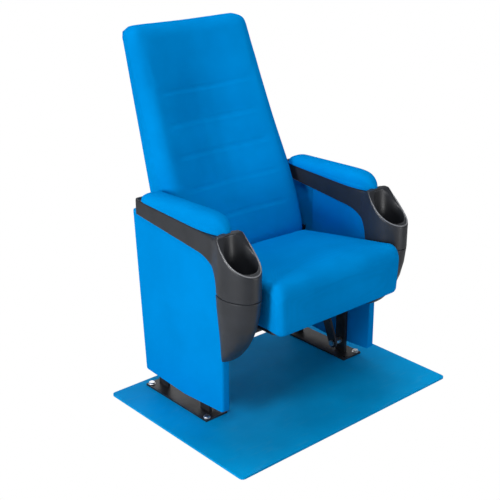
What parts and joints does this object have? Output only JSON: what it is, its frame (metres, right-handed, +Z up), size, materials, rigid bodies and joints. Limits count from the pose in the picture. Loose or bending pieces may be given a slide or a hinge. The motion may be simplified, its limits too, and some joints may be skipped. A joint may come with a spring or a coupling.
{
  "type": "push-back auditorium chair",
  "caption": "Fixed auditorium chair with a reclining push-back, blue upholstery, padded armrests that end in cup holders, and bolt-down steel feet on a display board",
  "frame": {"origin": "underside of the base board, at the centre of the four anchor holes of the floor plates", "axes": "+Z up, the chair faces -Y, +X to the right of someone who stands in front and looks at it"},
  "size_m": [0.834, 0.7752, 1.0589],
  "materials": {
    "blue_fabric": "woven, matt, close-fitted",
    "blue_panel": "board covered with the same blue cloth",
    "blue_laminate": "flat laminate with light scuffs",
    "grey_plastic": "moulded, fine grain",
    "core_board": "raw board",
    "black_steel": "satin powder coat",
    "zinc_steel": "bright zinc",
    "black_rubber": "matt"
  },
  "bodies": {
    "root": {"base_board": "blue_laminate", "left_floor_plate": "black_steel", "right_floor_plate": "black_steel", "left_front_leg": "black_steel", "right_front_leg": "black_steel", "left_rear_leg": "black_steel", "right_rear_leg": "black_steel", "left_side_rail": "black_steel", "right_side_rail": "black_steel", "front_cross_tube": "black_steel", "rear_cross_tube": "black_steel", "left_side_panel": "blue_panel", "right_side_panel": "blue_panel", "left_inner_panel": "blue_panel", "right_inner_panel": "blue_panel", "left_core_strip": "core_board", "right_core_strip": "core_board", "left_armrest": "grey_plastic", "right_armrest": "grey_plastic", "left_cup_tail": "grey_plastic", "right_cup_tail": "grey_plastic", "left_arm_pad": "blue_fabric", "right_arm_pad": "blue_fabric", "floor_bolts": "zinc_steel", "back_pivot_pins": "zinc_steel", "torsion_bushes": "black_rubber", "link_foot_bolts": "zinc_steel", "left_buffer_bracket": "black_steel", "right_buffer_bracket": "black_steel", "rest_buffers": "black_rubber"},
    "back": {"back_cushion": "blue_fabric", "back_board": "blue_panel", "left_back_upright": "black_steel", "right_back_upright": "black_steel", "back_top_tube": "black_steel", "back_cross_tube": "black_steel", "left_hinge_plate": "black_steel", "right_hinge_plate": "black_steel"},
    "seat": {"seat_cushion": "blue_fabric", "seat_pan": "grey_plastic", "left_seat_rail": "black_steel", "right_seat_rail": "black_steel", "seat_hinge_pins": "zinc_steel"},
    "left_link": {"left_swing_link": "black_steel"},
    "right_link": {"right_swing_link": "black_steel"}
  },
  "joints": [
    {"name": "back_recline", "type": "hinge", "parent": "root", "child": "back", "pos_m": [0, 0.104, 0.37], "axis": [-1, 0, 0], "range_deg": [0, 14], "stiffness_Nm_per_rad": 120, "springref_deg": -28.65},
    {"name": "seat_hinge", "type": "hinge", "parent": "back", "child": "seat", "pos_m": [0, 0.096, 0.255], "axis": [-1, 0, 0], "range_deg": [-11.3, 0]},
    {"name": "left_link_swing", "type": "hinge", "parent": "root", "child": "left_link", "pos_m": [-0.245, -0.094, 0.052], "axis": [-1, 0, 0], "range_deg": [-6.1, 0]},
    {"name": "right_link_swing", "type": "hinge", "parent": "root", "child": "right_link", "pos_m": [0.245, -0.094, 0.052], "axis": [-1, 0, 0], "range_deg": [-6.1, 0]}
  ],
  "couplings": [
    {"joint": "seat_hinge", "follows": "back_recline", "ratio": -0.8009},
    {"joint": "left_link_swing", "follows": "back_recline", "ratio": -0.4303},
    {"joint": "right_link_swing", "follows": "back_recline", "ratio": -0.4303}
  ]
}
